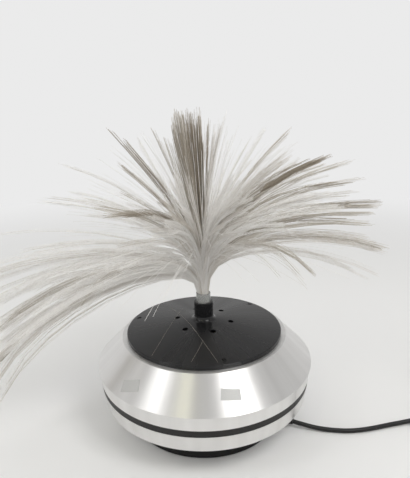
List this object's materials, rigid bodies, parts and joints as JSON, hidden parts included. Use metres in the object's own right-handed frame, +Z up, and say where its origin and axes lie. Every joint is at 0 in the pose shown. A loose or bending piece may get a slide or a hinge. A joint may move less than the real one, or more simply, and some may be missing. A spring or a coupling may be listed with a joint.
{
  "type": "fibre optic lamp",
  "caption": "Table lamp with a spun aluminium saucer base, black top plate and foot, a spray of optical fibres in a clear ferrule, and a mains lead with switch and plug.",
  "frame": {"origin": "on the lamp's axis, at the underside of the felt pad", "axes": "+Z up along the ferrule, +X to the side where the mains lead leaves, +Y to the back"},
  "size_m": [0.6461, 0.3217, 0.3582],
  "materials": {
    "brushed_aluminium": "spun and brushed, satin",
    "black_trim": "black satin extrusion",
    "black_plate": "glossy black moulding",
    "black_foot": "fine textured black",
    "felt": "pressed felt",
    "plated_steel": "zinc plated",
    "bright_reflector": "bright dipped",
    "holder_white": "glazed white",
    "cap_brass": "nickelled brass",
    "clear_glass": "clear",
    "core_iron": "varnished laminations",
    "winding_tape": "wrapped tape",
    "motor_paint": "grey enamel",
    "gear_white": "moulded, satin",
    "wheel_black": "moulded, satin",
    "filter_red": "clear gel",
    "filter_amber": "clear gel",
    "filter_green": "clear gel",
    "filter_blue": "clear gel",
    "ferrule_clear": "clear moulded tube",
    "bush_black": "moulded, satin",
    "optical_fibre": "clear plastic fibre",
    "lead_black": "satin flexible sheath",
    "wire_sleeve": "flexible sheath",
    "switch_black": "fine textured black",
    "pin_brass": "nickel plated brass"
  },
  "bodies": {
    "base": {"felt_pad": "felt", "base_pan": "black_foot", "lower_shell": "brushed_aluminium", "lower_band": "brushed_aluminium", "stripe_trim": "black_trim", "upper_band": "brushed_aluminium", "upper_shell": "brushed_aluminium", "top_plate": "black_plate", "case_screws": "plated_steel", "tie_posts": "plated_steel", "chassis_spacers": "plated_steel", "post_clips": "plated_steel", "chassis_plate": "plated_steel", "reflector": "bright_reflector", "reflector_studs": "plated_steel", "lampholder": "holder_white", "lamp_bracket": "plated_steel", "bulb_cap": "cap_brass", "bulb_glass": "clear_glass", "bulb_filament": "plated_steel", "transformer_core": "core_iron", "transformer_winding": "winding_tape", "transformer_clamp": "plated_steel", "chassis_screws": "plated_steel", "terminal_block": "holder_white", "terminal_screws": "cap_brass", "motor_body": "motor_paint", "wheel_axle": "plated_steel", "axle_clip": "plated_steel", "strain_relief": "lead_black", "lead_inner": "lead_black", "lead_tube": "lead_black", "lead_coil": "lead_black", "lead_tail": "lead_black", "coil_tie": "switch_black", "switch_base": "switch_black", "switch_cover": "switch_black", "plug_body": "switch_black", "plug_pins": "pin_brass"},
    "bush": {"collar_bush": "bush_black"},
    "spray": {"ferrule": "ferrule_clear", "fibre_stem": "optical_fibre", "fibres_upright": "optical_fibre", "fibres_upper_left": "optical_fibre", "fibres_left": "optical_fibre", "fibres_left_plume": "optical_fibre", "fibres_right_upper": "optical_fibre", "fibres_right_middle": "optical_fibre", "fibres_right_lower": "optical_fibre", "fibres_front": "optical_fibre", "fibres_back": "optical_fibre"},
    "wheel": {"colour_wheel": "wheel_black", "wheel_gear": "gear_white", "filter_red": "filter_red", "filter_amber": "filter_amber", "filter_green": "filter_green", "filter_blue": "filter_blue"},
    "pinion": {"motor_pinion": "pin_brass"},
    "rocker": {"switch_rocker": "switch_black"}
  },
  "joints": [
    {"name": "spray_turn", "type": "hinge", "parent": "base", "child": "bush", "pos_m": [0, 0, 0.12], "axis": [0, 0, 1], "continuous": true},
    {"name": "spray_lift", "type": "slide", "parent": "bush", "child": "spray", "axis": [0, 0, 1], "range_m": [0, 0.05]},
    {"name": "wheel_spin", "type": "hinge", "parent": "base", "child": "wheel", "pos_m": [0.033, 0, 0.075], "axis": [0, 0, 1], "continuous": true},
    {"name": "motor_spin", "type": "hinge", "parent": "base", "child": "pinion", "pos_m": [0.05439, -0.02139, 0.07], "axis": [0, 0, 1], "continuous": true},
    {"name": "switch_rock", "type": "hinge", "parent": "base", "child": "rocker", "pos_m": [0.293, -0.0376, 0.012], "axis": [-0.0872, 0.9962, 0], "range_deg": [0, 14]}
  ],
  "couplings": [
    {"joint": "motor_spin", "follows": "wheel_spin", "ratio": -4}
  ]
}
